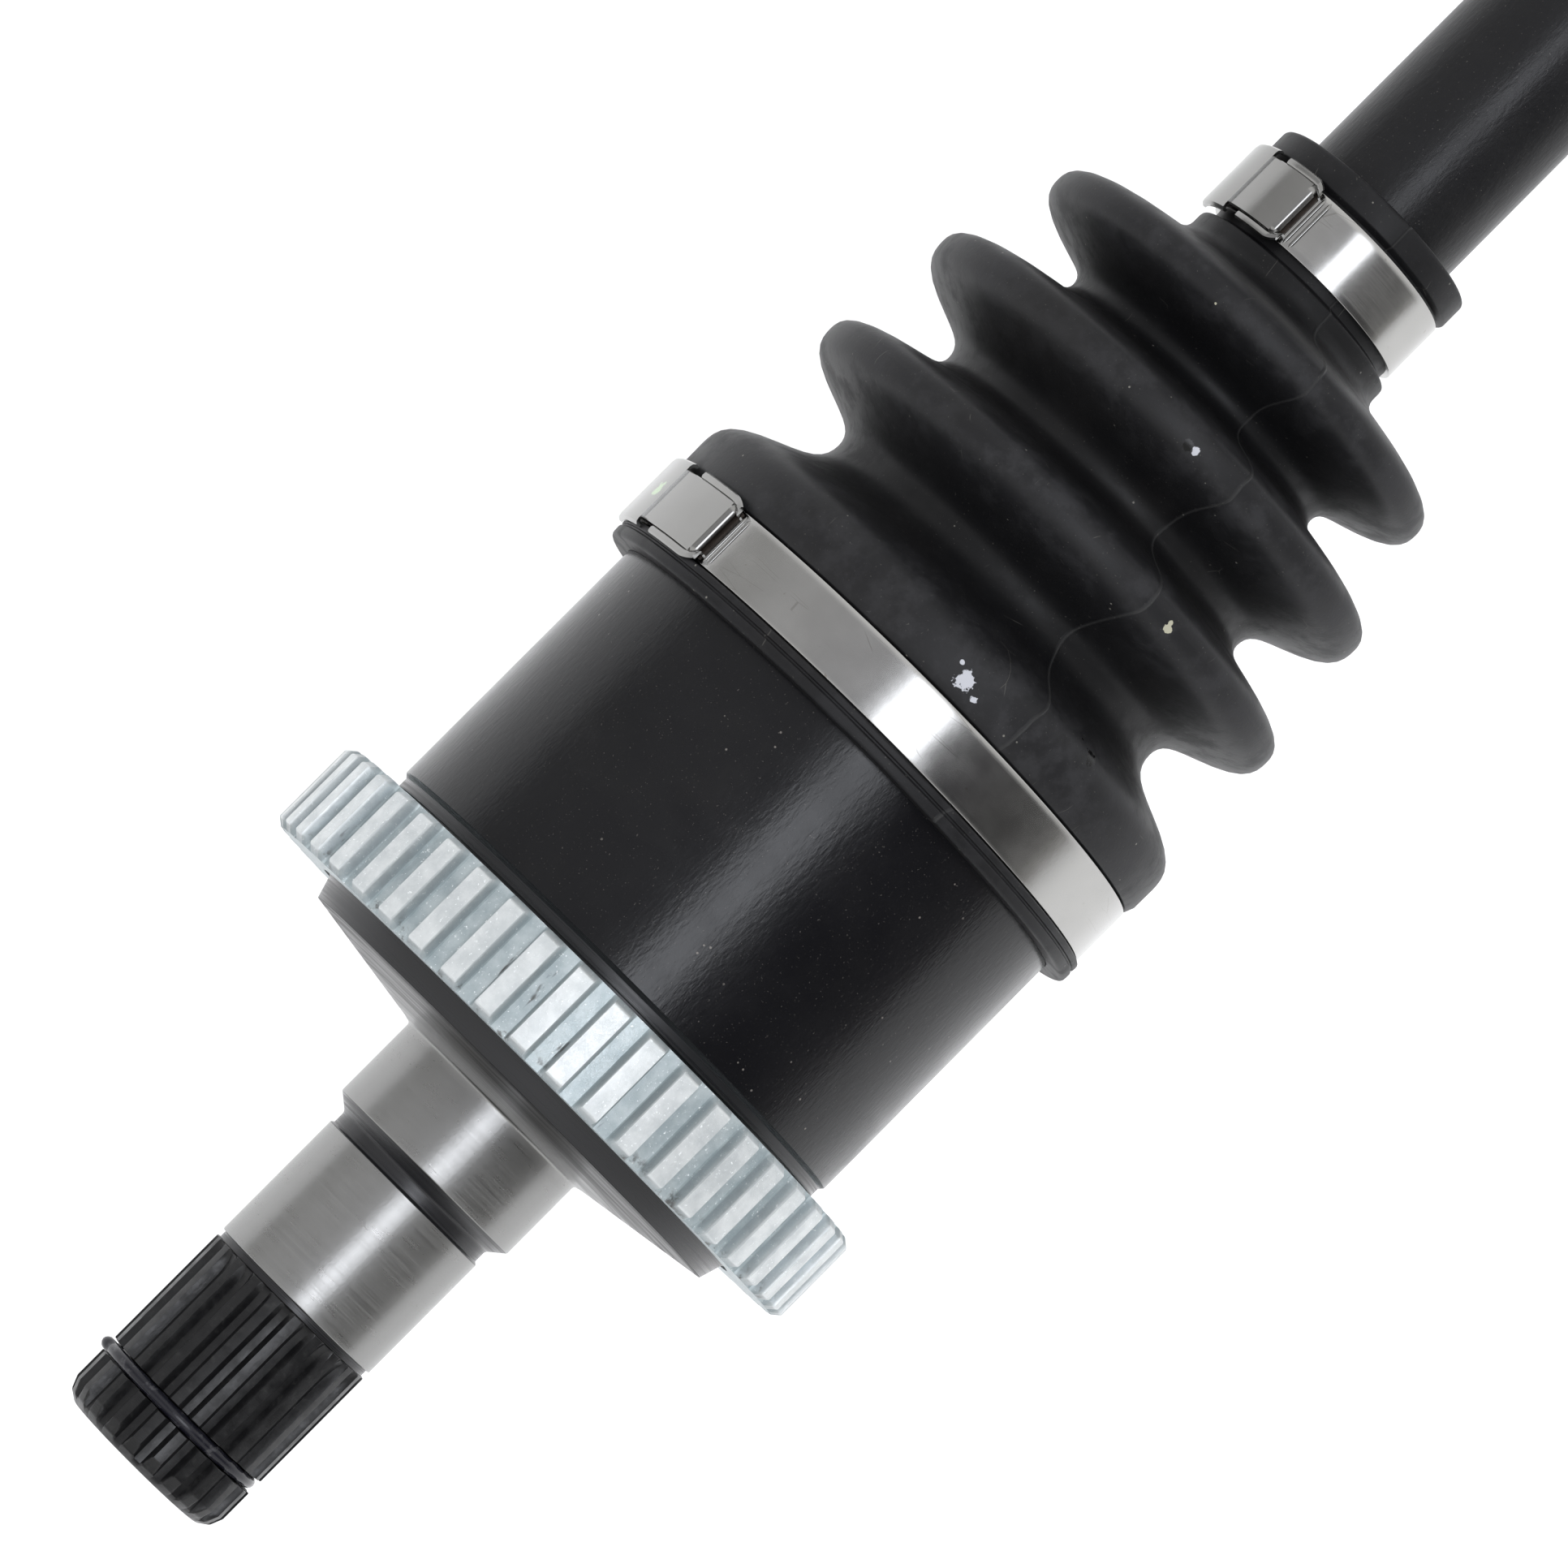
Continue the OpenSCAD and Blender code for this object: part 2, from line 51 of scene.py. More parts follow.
# ---------------------------------------------------------------- materials
class Look:
    """A procedural material, built node by node on one Principled shader."""

    def __init__(self, name, base, metallic=0.0, rough=0.5, **fixed):
        self.mat = bpy.data.materials.new(name)
        self.mat.use_nodes = True
        self.tree = self.mat.node_tree
        self.shader = self.tree.nodes["Principled BSDF"]
        self.shader.inputs["Base Color"].default_value = (*base, 1)
        self.shader.inputs["Metallic"].default_value = metallic
        self.shader.inputs["Roughness"].default_value = rough
        for key, value in fixed.items():
            self.shader.inputs[key.replace("_", " ")].default_value = value
        self.place = self.add("ShaderNodeTexCoord").outputs["Object"]
        self.normal = None

    def add(self, kind, **props):
        node = self.tree.nodes.new(kind)
        for key, value in props.items():
            setattr(node, key, value)
        return node

    def put(self, socket, value):
        if isinstance(value, bpy.types.NodeSocket):
            self.tree.links.new(value, socket)
        else:
            socket.default_value = value

    def sum(self, op, a, b=0.0, c=None, clamp=False):
        node = self.add("ShaderNodeMath", operation=op, use_clamp=clamp)
        self.put(node.inputs[0], a)
        self.put(node.inputs[1], b)
        if c is not None:
            self.put(node.inputs[2], c)
        return node.outputs[0]

    def stretch(self, by):
        node = self.add("ShaderNodeVectorMath", operation="MULTIPLY")
        self.put(node.inputs[0], self.place)
        node.inputs[1].default_value = by
        return node.outputs[0]

    def noise(self, scale, detail=2.0, rough=0.5, by=None):
        node = self.add("ShaderNodeTexNoise")
        self.put(node.inputs["Vector"], self.stretch(by) if by else self.place)
        node.inputs["Scale"].default_value = scale
        node.inputs["Detail"].default_value = detail
        node.inputs["Roughness"].default_value = rough
        return node.outputs["Fac"]

    def cells(self, scale, by=None, feature="F1"):
        node = self.add("ShaderNodeTexVoronoi", feature=feature)
        self.put(node.inputs["Vector"], self.stretch(by) if by else self.place)
        node.inputs["Scale"].default_value = scale
        return node.outputs["Distance"]

    def ease(self, value, low, high, a=0.0, b=1.0):
        node = self.add("ShaderNodeMapRange", interpolation_type="SMOOTHSTEP")
        for i, v in enumerate((value, low, high, a, b)):
            self.put(node.inputs[i], v)
        return node.outputs[0]

    def blend(self, share, a, b):
        node = self.add("ShaderNodeMix", data_type="RGBA")
        self.put(node.inputs[0], share)
        self.put(node.inputs[6], a if isinstance(a, bpy.types.NodeSocket) else (*a, 1))
        self.put(node.inputs[7], b if isinstance(b, bpy.types.NodeSocket) else (*b, 1))
        return node.outputs[2]

    def attribute(self, name):
        return self.add("ShaderNodeAttribute", attribute_name=name).outputs["Fac"]

    def along(self):
        return self.split()[0]

    def split(self):
        node = self.add("ShaderNodeSeparateXYZ")
        self.put(node.inputs[0], self.place)
        return node.outputs

    def radius(self):
        y, z = self.split()[1], self.split()[2]
        return self.sum("SQRT", self.sum("ADD", self.sum("MULTIPLY", y, y), self.sum("MULTIPLY", z, z)))

    def blot(self, x, turn, r, size, ragged=0.7, grain=1400.0):
        """A ragged mark of that size (mm) at x, r and that many degrees from the top toward -Y."""
        t = math.radians(turn)
        node = self.add("ShaderNodeVectorMath", operation="DISTANCE")
        self.put(node.inputs[0], self.place)
        node.inputs[1].default_value = (x * MM, -math.sin(t) * r * MM, math.cos(t) * r * MM)
        far = self.sum("DIVIDE", node.outputs["Value"], size * MM)
        wobble = self.sum("SUBTRACT", self.noise(grain, 3.0, 0.6), 0.5)
        far = self.sum("ADD", far, self.sum("MULTIPLY", wobble, 3.2 * ragged))
        return self.ease(far, 1.0, 0.82)

    def most(self, *shares):
        out = shares[0]
        for share in shares[1:]:
            out = self.sum("MAXIMUM", out, share)
        return out

    def bump(self, height, depth, strength=1.0):
        node = self.add("ShaderNodeBump")
        node.inputs["Strength"].default_value = strength
        node.inputs["Distance"].default_value = depth * MM
        self.put(node.inputs["Height"], height)
        if self.normal:
            self.put(node.inputs["Normal"], self.normal)
        self.normal = node.outputs[0]
        self.put(self.shader.inputs["Normal"], self.normal)

    def colour(self, value):
        self.put(self.shader.inputs["Base Color"], value)

    def rough(self, value):
        self.put(self.shader.inputs["Roughness"], value)


def turned_lines(look, pitch, depth):
    """Fine rings left by turning or grinding, round X."""
    lines = look.noise(1.0, 3.0, 0.65, by=(1000 / pitch, 12.0, 12.0))
    look.bump(lines, depth)
    return lines


def black_paint(name="black_paint", rough=0.19, depth=0.02):
    look = Look(name, (0.006, 0.006, 0.007), 0.0, rough, Specular_IOR_Level=0.3)
    look.bump(look.noise(1500.0, 3.0, 0.6, by=(0.4, 1.0, 1.0)), 1.6 * depth)
    look.bump(look.noise(5000.0, 2.0, 0.6, by=(0.3, 1.0, 1.0)), 0.005)
    look.bump(look.noise(260.0, 2.0), 0.03, 0.5)
    dust = look.ease(look.cells(420.0), 0.08, 0.05)
    dust = look.sum("MULTIPLY", dust, look.ease(look.noise(55.0, 3.0), 0.48, 0.6))
    fine_dust = look.sum("MULTIPLY", look.ease(look.noise(3800.0, 1.0), 0.7, 0.8), 0.4)
    haze = look.ease(look.noise(70.0, 5.0, 0.65), 0.45, 0.75, 0.0, 0.35)
    tint = look.blend(haze, (0.0042, 0.0042, 0.0052), (0.009, 0.0088, 0.009))
    look.colour(look.blend(look.most(dust, fine_dust), tint, (0.13, 0.12, 0.11)))
    smear = look.ease(look.noise(38.0, 4.0, 0.6, by=(1.0, 0.5, 0.5)), 0.6, 0.68, 0.0, 0.06)
    look.rough(look.sum("ADD", smear, look.ease(look.noise(90.0, 4.0, 0.6), 0.35, 0.75, rough, rough + 0.08)))
    return look.mat


def turned_black():
    look = Look("turned_black", (0.012, 0.012, 0.013), 0.2, 0.3)
    lines = turned_lines(look, 0.3, 0.012)
    look.colour(look.blend(lines, (0.005, 0.005, 0.006), (0.022, 0.022, 0.024)))
    look.rough(look.ease(lines, 0.3, 0.7, 0.22, 0.4))
    return look.mat


def flange_back():
    """The turned cone, dark steel, with a painted grey reflection by the journal that fades to black toward
    the rim.
    """
    look = Look("flange_back", (0.05, 0.05, 0.05), 0.6, 0.4)
    rings = look.noise(1.0, 3.0, 0.6, by=(5000.0, 40.0, 40.0))
    look.bump(rings, 0.01)
    # painted reflection: grey by the journal, black from the middle of the cone out to the rim
    rim = look.ease(look.radius(), 0.0155, 0.029)
    look.colour(look.blend(rim, (0.3, 0.3, 0.3), (0.006, 0.006, 0.0065)))
    look.rough(look.ease(rings, 0.3, 0.7, 0.3, 0.5))
    return look.mat


def ground_steel():
    look = Look("ground_steel", (0.38, 0.38, 0.38), 1.0, 0.26)
    turned_lines(look, 0.055, 0.02)
    look.bump(look.noise(2600.0, 3.0, 0.6), 0.008)
    cloud = look.noise(500.0, 5.0, 0.7, by=(1.0, 0.4, 0.4))
    nick = look.ease(look.cells(330.0, by=(1.0, 0.5, 0.5)), 0.09, 0.04)
    nick = look.sum("MULTIPLY", nick, look.ease(look.noise(75.0, 2.0), 0.54, 0.6))
    tone = look.blend(cloud, (0.262, 0.26, 0.254), (0.3, 0.3, 0.296))
    look.colour(look.blend(nick, tone, (0.05, 0.045, 0.04)))
    look.rough(look.ease(cloud, 0.3, 0.7, 0.27, 0.3))
    look.bump(nick, -0.04)
    return look.mat


def spline_black():
    look = Look("spline_black", (0.008, 0.008, 0.009), 0.0, 0.34, Specular_IOR_Level=0.38)
    look.bump(look.noise(1.0, 3.0, 0.6, by=(2200.0, 300.0, 300.0)), 0.035)
    look.bump(look.noise(1800.0, 3.0, 0.6), 0.02)
    worn = look.ease(look.noise(900.0, 4.0, 0.7), 0.52, 0.72)
    look.colour(look.blend(worn, (0.005, 0.005, 0.0055), (0.014, 0.014, 0.014)))
    look.rough(look.ease(look.noise(400.0, 3.0, 0.6), 0.35, 0.7, 0.28, 0.48))
    return look.mat


def zinc():
    look = Look("zinc_plate", (0.7, 0.75, 0.76), 0.4, 0.4)
    grain = look.noise(2300.0, 4.0, 0.7)
    look.bump(grain, 0.045)
    look.bump(look.noise(420.0, 3.0, 0.6), 0.05, 0.6)
    cloud = look.ease(look.noise(330.0, 4.0, 0.6), 0.3, 0.7)
    low = look.ease(look.radius(), 0.0454, 0.0446)
    land = look.blend(cloud, (0.5, 0.53, 0.54), (0.63, 0.655, 0.66))
    tone = look.blend(low, land, look.blend(cloud, (0.33, 0.385, 0.405), (0.46, 0.515, 0.53)))
    tone = look.blend(look.ease(grain, 0.6, 0.7), tone, (0.85, 0.88, 0.89))
    corner = look.ease(look.along(), 0.0152, 0.0132)
    spot = look.ease(look.noise(330.0, 4.0, 0.62), 0.55, 0.64)
    root = look.sum("MULTIPLY", low, look.ease(look.radius(), 0.0429, 0.0434))
    # painted shade: each tooth wall is painted darker, giving a dark line along both sides of every gap
    painted_wall_shade = look.sum("MULTIPLY", look.ease(look.radius(), 0.04405, 0.0443),
                    look.ease(look.radius(), 0.0456, 0.0453))
    tone = look.blend(look.sum("MULTIPLY", painted_wall_shade, look.ease(cloud, 0.0, 1.0, 0.4, 0.75)), tone,
                      (0.2, 0.23, 0.24))
    stain = look.sum("MULTIPLY", spot, look.sum("MULTIPLY", root, corner))
    line = look.sum("MULTIPLY", look.ease(look.noise(260.0, 3.0, 0.6, by=(0.5, 1.6, 1.6)), 0.66, 0.73), root)
    tone = look.blend(look.sum("MULTIPLY", look.most(stain, line), 0.85), tone, (0.06, 0.055, 0.05))
    rust = look.most(look.blot(24.9, 31, 45.7, 0.75), look.blot(23.9, 31.2, 45.7, 0.45))
    look.colour(look.blend(rust, tone, (0.32, 0.15, 0.05)))
    look.rough(look.ease(grain, 0.3, 0.7, 0.32, 0.52))
    return look.mat


def black_wire():
    look = Look("black_wire", (0.01, 0.01, 0.012), 0.0, 0.2, Specular_IOR_Level=0.3)
    worn = look.ease(look.noise(600.0, 3.0), 0.56, 0.7)
    look.colour(look.blend(worn, (0.008, 0.008, 0.012), (0.05, 0.05, 0.055)))
    look.bump(look.noise(1500.0, 2.0), 0.01)
    return look.mat


def boot_rubber():
    look = Look("boot_rubber", (0.009, 0.009, 0.0095), 0.0, 0.48, Specular_IOR_Level=0.2)
    look.bump(look.noise(2200.0, 3.0, 0.6), 0.016)
    look.bump(look.noise(300.0, 3.0), 0.05, 0.5)
    crest, seam = look.attribute("crest"), look.attribute("seam")
    mottle = look.ease(look.noise(180.0, 5.0, 0.7), 0.38, 0.7)
    # painted highlight: the crests are painted paler, patchy with the mottle noise
    pale = look.sum("MULTIPLY", crest, look.ease(mottle, 0.0, 1.0, 0.4, 1.0))
    tone = look.blend(pale, (0.005, 0.005, 0.0056), (0.022, 0.022, 0.024))
    dull = look.ease(look.noise(28.0, 4.0, 0.6), 0.5, 0.72, 0.0, 0.5)
    tone = look.blend(dull, tone, (0.013, 0.0125, 0.0125))
    tone = look.blend(look.sum("MULTIPLY", seam, 0.7), tone, (0.03, 0.03, 0.03))
    speck = look.ease(look.cells(430.0), 0.08, 0.045)
    speck = look.sum("MULTIPLY", speck, look.ease(look.noise(80.0, 2.0), 0.5, 0.6))
    fine_dust = look.sum("MULTIPLY", look.ease(look.noise(3500.0, 1.0), 0.72, 0.8), 0.3)
    hair = look.ease(look.cells(120.0, by=(0.5, 1.4, 1.4), feature="DISTANCE_TO_EDGE"), 0.007, 0.002)
    hair = look.sum("MULTIPLY", hair, look.ease(look.noise(150.0, 2.0), 0.63, 0.68))
    mark = look.most(speck, fine_dust, look.sum("MULTIPLY", hair, 0.3))
    tone = look.blend(mark, tone, (0.15, 0.145, 0.13))
    wet = look.most(look.blot(INNER + 39.4, 34, 39.6, 1.2, 0.5), look.blot(INNER + 40.4, 31, 38.8, 0.5, 0.5),
                    look.blot(INNER + 75.9, 5.2, 37.7, 0.85, 0.4))
    tone = look.blend(wet, tone, (0.003, 0.003, 0.003))
    white = look.most(look.blot(INNER + 34.9, 6, 41.2, 1.3), look.blot(INNER + 33.9, 9.5, 41.1, 0.5),
                      look.blot(INNER + 36.2, 3.5, 41.2, 0.35), look.blot(INNER + 76.1, 6.9, 37.7, 0.6, 0.5))
    beige = look.most(look.blot(INNER + 58.0, 26.5, 39.9, 0.62, 0.4),
                      look.blot(INNER + 58.7, 26, 39.9, 0.42, 0.4),
                      look.blot(INNER + 70.6, -31, 31.5, 0.26, 0.2),
                      look.blot(INNER + 50.4, -38, 31.0, 0.26, 0.3),
                      look.blot(INNER + 92.0, -12, 32.4, 0.22, 0.3))
    tone = look.blend(white, tone, (0.42, 0.43, 0.47))
    look.colour(look.blend(beige, tone, (0.36, 0.35, 0.27)))
    look.rough(look.sum("SUBTRACT", look.ease(mottle, 0.0, 1.0, 0.44, 0.56), look.sum("MULTIPLY", wet, 0.34)))
    return look.mat


def stainless(name, share):
    """Rolled stainless strip; share darkens the pieces that are pressed and handled."""
    look = Look(name, (0.52 * share, 0.515 * share, 0.5 * share), 1.0, 0.18)
    look.bump(look.noise(1.0, 3.0, 0.6, by=(5200.0, 60.0, 60.0)), 0.003)
    look.bump(look.noise(900.0, 3.0, 0.6), 0.004)
    cloud = look.noise(150.0, 4.0, 0.6)
    dark, pale = (0.37, 0.366, 0.354), (0.45, 0.446, 0.434)
    tone = look.blend(cloud, tuple(share * v for v in dark), tuple(share * v for v in pale))
    scratch = look.ease(look.cells(420.0, by=(1.0, 0.12, 0.12), feature="DISTANCE_TO_EDGE"), 0.01, 0.003)
    scratch = look.sum("MULTIPLY", scratch, look.ease(look.noise(110.0, 2.0), 0.58, 0.64))
    dirt = look.ease(look.noise(900.0, 3.0, 0.6), 0.68, 0.76)
    tone = look.blend(look.sum("MULTIPLY", scratch, 0.4), tone, (0.22, 0.21, 0.19))
    tone = look.blend(look.sum("MULTIPLY", dirt, 0.5), tone, (0.2, 0.17, 0.13))
    dab = look.blot(INNER + 27.2, -74, 41.6, 1.5, 0.4)
    look.colour(look.blend(look.sum("MULTIPLY", dab, 0.7), tone, (0.5, 0.66, 0.42)))
    look.rough(look.ease(cloud, 0.3, 0.7, 0.16, 0.21))
    return look.mat


def strap_painted_shadow():
    """A painted shadow under the folds: steel painted nearly black where shade falls, brownish with some
    grease stain.
    """
    look = Look("strap_painted_shadow", (0.03, 0.026, 0.022), 0.6, 0.5)
    look.colour(look.blend(look.noise(900.0, 3.0), (0.012, 0.01, 0.009), (0.07, 0.055, 0.045)))
    return look.mat


def joint_steel(name, base, rough):
    look = Look(name, base, 1.0, rough)
    cloud = look.noise(200.0, 4.0, 0.6)
    dark = tuple(0.72 * c for c in base)
    look.colour(look.blend(cloud, dark, base))
    look.bump(look.noise(1800.0, 2.0), 0.004)
    look.rough(look.ease(cloud, 0.3, 0.7, rough * 0.8, rough * 1.3))
    return look.mat


PAINT = black_paint()
BAR = black_paint("bar_paint", 0.3, 0.03)
TURNED = turned_black()
BACK = flange_back()
GROUND = ground_steel()
SPLINE = spline_black()
ZINC = zinc()
WIRE = black_wire()
RUBBER = boot_rubber()
STRAP = stainless("stainless_strap", 1.0)
BUCKLE = stainless("stainless_buckle", 0.68)
PAINTED_SHADOW = strap_painted_shadow()
HARD = joint_steel("joint_steel", (0.42, 0.42, 0.44), 0.34)
BALL = joint_steel("ball_steel", (0.74, 0.75, 0.77), 0.12)


# ---------------------------------------------------------------- geometry
def fillet(points, steps=4):
    """A profile of (x, r) corners; a third number rounds that corner."""
    out = []
    for i, p in enumerate(points):
        if len(p) < 3 or i in (0, len(points) - 1):
            out.append(p[:2])
            continue
        a, b, c = (np.array(points[i + k][:2], float) for k in (-1, 0, 1))
        u, v = a - b, c - b
        lu, lv = np.linalg.norm(u), np.linalg.norm(v)
        u, v = u / lu, v / lv
        half = math.acos(max(-1.0, min(1.0, float(u @ v)))) / 2
        d = min(p[2] / math.tan(half), 0.49 * lu, 0.49 * lv)
        for k in range(steps + 1):
            t = k / steps
            q = (1 - t) ** 2 * (b + u * d) + 2 * t * (1 - t) * b + t * t * (b + v * d)
            out.append((float(q[0]), float(q[1])))
    return out


def fine(profile, step):
    """The same profile with points no further apart than step."""
    out = [profile[0]]
    for a, b in zip(profile, profile[1:]):
        n = max(1, math.ceil(math.dist(a, b) / step))
        out += [(a[0] + (b[0] - a[0]) * k / n, a[1] + (b[1] - a[1]) * k / n) for k in range(1, n + 1)]
    return out


def make(name, co, faces, mats, sharp=32.0):
    mesh = bpy.data.meshes.new(name)
    mesh.from_pydata([tuple(p) for p in co], [], faces)
    mesh.validate()
    mesh.shade_smooth()
    mesh.set_sharp_from_angle(angle=math.radians(sharp))
    for mat in mats:
        mesh.materials.append(mat)
    obj = bpy.data.objects.new(name, mesh)
    bpy.context.scene.collection.objects.link(obj)
    return obj


def skin(name, profile, angles, x0=0.0, relief=None, closed=False, mats=(), caps=True):
    """A surface of revolution round X, in mm; relief may move its points."""
    pr = np.array(profile, float)
    a = np.arange(angles) * TAU / angles if isinstance(angles, int) else np.array(angles, float)
    n, m = len(a), len(pr)
    X = np.repeat(pr[:, :1], n, 1)
    R = np.repeat(pr[:, 1:2], n, 1)
    A = np.repeat(a[None, :], m, 0)
    if relief:
        X, R, A = relief(X, R, A)
    co = np.stack([X + x0, R * np.cos(A), R * np.sin(A)], -1).reshape(-1, 3) * MM
    i = np.arange(m if closed else m - 1)[:, None] * n
    k = (np.arange(1, m + 1) % m)[:, None] * n if closed else i + n
    j = np.arange(n)[None, :]
    j1 = (j + 1) % n
    quads = np.stack([i + j, i + j1, k + j1, k + j], -1).reshape(-1, 4)
    faces = [tuple(int(v) for v in q) for q in quads]
    co = list(co)
    if caps and not closed:
        for row, flip in ((0, False), (m - 1, True)):
            centre = len(co)
            co.append(np.array([(pr[row, 0] + x0) * MM, 0.0, 0.0]))
            for q in range(n):
                e = (row * n + q, row * n + (q + 1) % n)
                faces.append((centre, e[0], e[1]) if flip else (centre, e[1], e[0]))
    return make(name, co, faces, mats)


def paint(obj, rule):
    """Gives each face the slot that rule(x mm, radius mm) returns."""
    for p in obj.data.polygons:
        c = p.center
        p.material_index = rule(c.x / MM, math.hypot(c.y, c.z) / MM)


def arc(name, section, a0, a1, steps, x0=0.0, mats=(), lift=None):
    """A closed section of (x, r) swept from one angle to another, with flat ends."""
    sec = np.array(section, float)
    m = len(sec)
    co, faces = [], []
    for s in range(steps + 1):
        t = s / steps
        ang = math.radians(a0 + (a1 - a0) * t)
        rows = lift(sec, t) if lift else sec
        for x, r in rows:
            co.append(((x + x0) * MM, r * math.cos(ang) * MM, r * math.sin(ang) * MM))
    for s in range(steps):
        for q in range(m):
            q1 = (q + 1) % m
            faces.append((s * m + q, s * m + q1, (s + 1) * m + q1, (s + 1) * m + q))
    faces.append(tuple(reversed(range(m))))
    faces.append(tuple(range(steps * m, steps * m + m)))
    obj = make(name, co, faces, mats)
    tidy_normals(obj)
    return obj


def tidy_normals(obj):
    bm = bmesh.new()
    bm.from_mesh(obj.data)
    bmesh.ops.recalc_face_normals(bm, faces=bm.faces)
    bm.to_mesh(obj.data)
    bm.free()


def join(name, pieces):
    """One object from several, with their materials kept."""
    mats, co, faces, index = [], [], [], []
    for piece in pieces:
        base = len(co)
        own = [mats.index(m) if m in mats else mats.append(m) or len(mats) - 1 for m in piece.data.materials]
        co += [tuple(v.co) for v in piece.data.vertices]
        for p in piece.data.polygons:
            faces.append(tuple(base + v for v in p.vertices))
            index.append(own[p.material_index] if own else 0)
    obj = make(name, co, faces, mats)
    for p, i in zip(obj.data.polygons, index):
        p.material_index = i
    for piece in pieces:
        bpy.data.objects.remove(piece)
    return obj


def box_section(x0, x1, r0, r1, b=0.12):
    """A strap's section with softened edges."""
    return [(x0 + b, r0), (x1 - b, r0), (x1, r0 + b), (x1, r1 - b),
            (x1 - b, r1), (x0 + b, r1), (x0, r1 - b), (x0, r0 + b)]


def from_cad(node, keep):
    """Points and faces of a CAD node where every point passes keep(x mm, radius mm)."""
    src = nodes[node].data
    co = [v.co for v in src.vertices]
    kept = [keep(c.x / MM, math.hypot(c.y, c.z) / MM) for c in co]
    faces = [tuple(p.vertices) for p in src.polygons if all(kept[v] for v in p.vertices)]
    used = sorted({v for f in faces for v in f})
    at = {}
    new, moved = [], {}
    for v in used:
        key = tuple(round(c, 7) for c in co[v])
        if key not in moved:
            moved[key] = len(new)
            new.append(tuple(co[v]))
        at[v] = moved[key]
    polys = [tuple(at[v] for v in f) for f in faces]
    return new, [p for p in polys if len(set(p)) == len(p)]


def finish_piece(obj, body, slot, *replaced):
    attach(obj, body)
    if replaced:
        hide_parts(*replaced)
    return obj


# ---------------------------------------------------------------- teeth
def tooth(angle, count, land, base, phase=0.0):
    """1 on a tooth's land, 0 on the floor between, with straight flanks."""
    u = np.abs(((angle * count / TAU + phase + 0.5) % 1.0) - 0.5)
    a, b = land / 2, (1 - base) / 2
    return np.clip((b - u) / (b - a), 0, 1)


def tooth_angles(count, land, base, soft, phase=0.0):
    """Angles that put points at each tooth's corners, with a small rounding."""
    a, b = land / 2, (1 - base) / 2
    marks = [0.0, a - soft, a, a + soft, (a + b) / 2, b - soft, b, b + soft]
    marks = sorted(set([-m for m in marks[1:]] + marks + [0.5]))
    out = [(i + m - phase) / count * TAU for i in range(count) for m in marks]
    return np.array(sorted(out))


# ---------------------------------------------------------------- housing
CLIP_X = -99.8  # middle of the circlip's groove, from the inner joint
STUB_TEETH, RING_TEETH, HUB_TEETH = (22, 0.36, 0.3), (46, 0.42, 0.36), (26, 0.36, 0.3)  # count, land, floor
stub_profile = fine(fillet([
    (-105.8, 0.01), (-106.6, 0.9), (-108.2, 2.7), (-108.2, 11.1, 0.9), (-107.2, 12.5, 0.8),
    (-105.5, 13.2, 0.8), (CLIP_X - 1.05, 13.2, 0.15), (CLIP_X - 1.05, 11.3, 0.3),
    (CLIP_X + 1.05, 11.3, 0.3), (CLIP_X + 1.05, 13.2, 0.15), (-80.1, 13.2, 0.2), (-80.1, 12.75, 0.1),
    (-79.1, 12.75, 0.1), (-79.1, 13.2, 0.35), (-59.6, 13.2, 0.35), (-59.3, 12.8, 0.2), (-57.5, 12.8, 0.8),
    (-55.7, 15.0, 0.35), (-43.5, 15.0, 0.5), (-43.3, 15.7, 0.3)]), 1.0)


def stub_relief(X, R, A):
    """Cuts the hobbed grooves, which run out before the journal."""
    groove = 1 - tooth(A, *STUB_TEETH)
    groove = groove * groove * (3 - 2 * groove) * 0.35 + groove * 0.65
    runout = np.clip((X + 80.1) / -4.6, 0, 1)
    depth = 1.15 * np.sqrt(np.clip(1 - (1 - runout) ** 2, 0, 1))
    deep = np.minimum(R, 13.2 - depth * groove)
    cut = (X < -80.2) & (R > 11.4)
    return X, np.where(cut, deep, R), A


stub = skin("stub", stub_profile, tooth_angles(*STUB_TEETH, 0.025), INNER, stub_relief,
            mats=[SPLINE, GROUND, TURNED])
paint(stub, lambda x, r: 1 if -29.05 < x < -9.7 or -5.75 < x < 7 else 0 if x < -30 else 2)
barrel = skin("barrel", fine(fillet([
    (-43.35, 15.6), (-43.2, 16.1, 0.3), (-40.4, 34.75, 0.12), (-37.3, 35.68), (-36.8, 36.5), (-23.0, 36.5),
    (-23.0, 37.55, 0.1), (-21.5, 37.55, 0.1), (-20.9, 38.08, 0.2), (25, 38.08), (25.8, 37.2), (29.2, 37.2),
    (30, 38.08), (32, 38.08, 0.3), (33, 37.1)]), 2.0), 256, INNER, mats=[PAINT, BACK, TURNED], caps=False)
paint(barrel, lambda x, r: 1 if x < 9.7 else 2 if x < 29.0 else 0)
co, faces = from_cad("inner_housing", lambda x, r: (r < 34.6 and x > 15.5) or (x > 82 and r < 37.15))
cup = make("cup", co, faces, [HARD], 25.0)
housing = join("housing_and_stub", [cup, barrel, stub])
finish_piece(housing, "housing", "black_steel", "inner_housing")


# ---------------------------------------------------------------- tone ring
ring_profile = fillet([
    (-37.3, 36.7), (-37.3, 43.7, 0.25), (-37.3, 44.6, 0.2), (-36.4, 45.7, 0.35), (-24.5, 45.7, 0.35),
    (-23.6, 44.6, 0.2), (-23.6, 43.7, 0.25), (-23.6, 36.7)], 3)


def ring_cut(X, R, A):
    t = tooth(A, *RING_TEETH)
    floor = 43.9
    return X, np.where(R > floor, floor + (R - floor) * t, R), A


ring = skin("tone_ring_skin", ring_profile, tooth_angles(*RING_TEETH, 0.03), INNER, ring_cut, closed=True,
            mats=[ZINC])
finish_piece(ring, "housing", "zinc_plate", "tone_ring")


